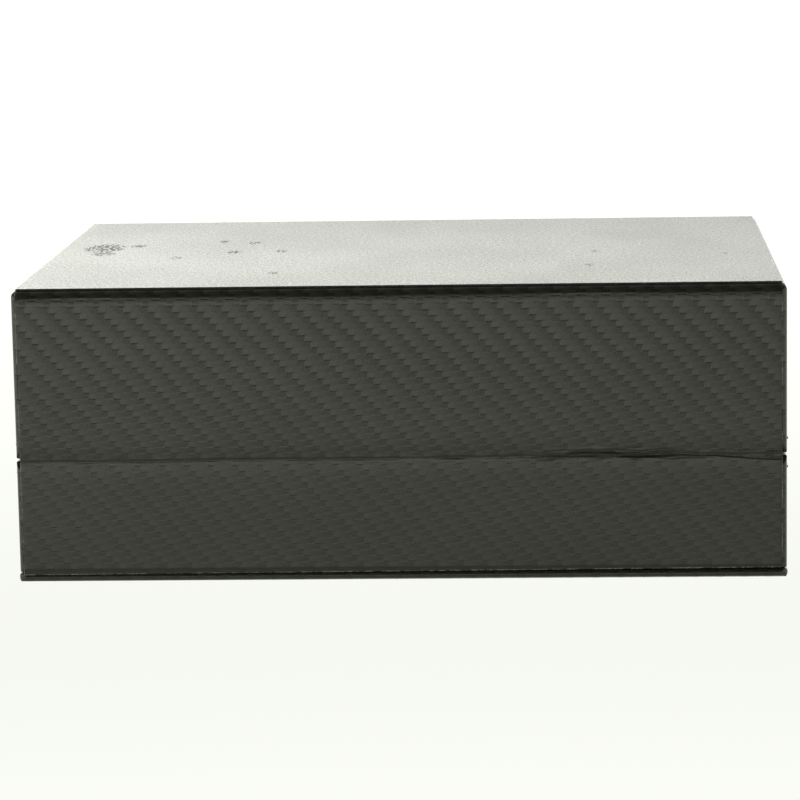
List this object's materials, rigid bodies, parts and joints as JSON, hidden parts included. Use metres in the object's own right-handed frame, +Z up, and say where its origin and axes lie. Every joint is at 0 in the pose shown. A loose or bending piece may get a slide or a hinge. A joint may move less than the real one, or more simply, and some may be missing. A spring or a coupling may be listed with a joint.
{
  "type": "watch box",
  "caption": "Low rectangular watch box in twill leatherette, with a hinged window lid, a press-button catch and removable cushions in a divided base.",
  "frame": {"origin": "centre of the underside, on the surface the box stands on", "axes": "+X to the right when facing the closure, +Y towards the spine and hinges, +Z up towards the lid"},
  "size_m": [0.2044, 0.1588, 0.0787],
  "materials": {
    "carbon_leatherette": "embossed twill, satin",
    "underside_sheet": "fine grained, matt, scuffed",
    "fibreboard": "raw medium-density fibreboard",
    "card": "grey card",
    "velvet_lining": "black velvet",
    "cushion_velvet": "dark grey velvet",
    "window_glass": "clear float glass",
    "polished_metal": "polished nickel plate",
    "plated_steel": "zinc plated"
  },
  "bodies": {
    "base": {"base_floor_board": "fibreboard", "base_front_board": "fibreboard", "base_back_board": "fibreboard", "base_left_board": "fibreboard", "base_right_board": "fibreboard", "base_wrap": "carbon_leatherette", "infill_card": "card", "underside_sheet": "underside_sheet", "spine_base": "carbon_leatherette", "base_lining": "velvet_lining", "long_divider": "velvet_lining", "cross_divider_left": "velvet_lining", "cross_divider_right": "velvet_lining", "hinge_base_leaf_left": "plated_steel", "hinge_base_leaf_right": "plated_steel", "hinge_pin_left": "plated_steel", "hinge_pin_right": "plated_steel", "hinge_base_screws": "plated_steel", "lock_plate": "polished_metal", "lock_rivets": "polished_metal", "lock_case": "plated_steel", "button_spring": "plated_steel"},
    "lid": {"lid_top_board": "fibreboard", "lid_front_board": "fibreboard", "lid_back_board": "fibreboard", "lid_left_board": "fibreboard", "lid_right_board": "fibreboard", "lid_wrap": "carbon_leatherette", "spine_lid": "carbon_leatherette", "top_frame": "carbon_leatherette", "glass_pane": "window_glass", "glass_retainer": "velvet_lining", "lid_lining": "velvet_lining", "hinge_lid_leaf_left": "plated_steel", "hinge_lid_leaf_right": "plated_steel", "hinge_lid_screws": "plated_steel", "striker": "polished_metal", "striker_rivets": "polished_metal"},
    "button": {"push_button": "polished_metal", "button_catch": "plated_steel"},
    "cushion_1": {"cushion_1": "cushion_velvet"},
    "cushion_2": {"cushion_2": "cushion_velvet"},
    "cushion_3": {"cushion_3": "cushion_velvet"},
    "cushion_4": {"cushion_4": "cushion_velvet"},
    "cushion_5": {"cushion_5": "cushion_velvet"},
    "cushion_6": {"cushion_6": "cushion_velvet"}
  },
  "joints": [
    {"name": "lid_hinge", "type": "hinge", "parent": "base", "child": "lid", "pos_m": [0, 0.0768, 0.0459], "axis": [-1, 0, 0], "range_deg": [0, 105]},
    {"name": "button_press", "type": "slide", "parent": "base", "child": "button", "axis": [0, 1, 0], "range_m": [0, 0.0016], "stiffness_N_per_m": 400, "springref_m": -0.0025, "deforming": ["button_spring"]},
    {"name": "cushion_1_lift", "type": "slide", "parent": "base", "child": "cushion_1", "axis": [0, 0, 1], "range_m": [0, 0.028]},
    {"name": "cushion_2_lift", "type": "slide", "parent": "base", "child": "cushion_2", "axis": [0, 0, 1], "range_m": [0, 0.028]},
    {"name": "cushion_3_lift", "type": "slide", "parent": "base", "child": "cushion_3", "axis": [0, 0, 1], "range_m": [0, 0.028]},
    {"name": "cushion_4_lift", "type": "slide", "parent": "base", "child": "cushion_4", "axis": [0, 0, 1], "range_m": [0, 0.028]},
    {"name": "cushion_5_lift", "type": "slide", "parent": "base", "child": "cushion_5", "axis": [0, 0, 1], "range_m": [0, 0.028]},
    {"name": "cushion_6_lift", "type": "slide", "parent": "base", "child": "cushion_6", "axis": [0, 0, 1], "range_m": [0, 0.028]}
  ]
}
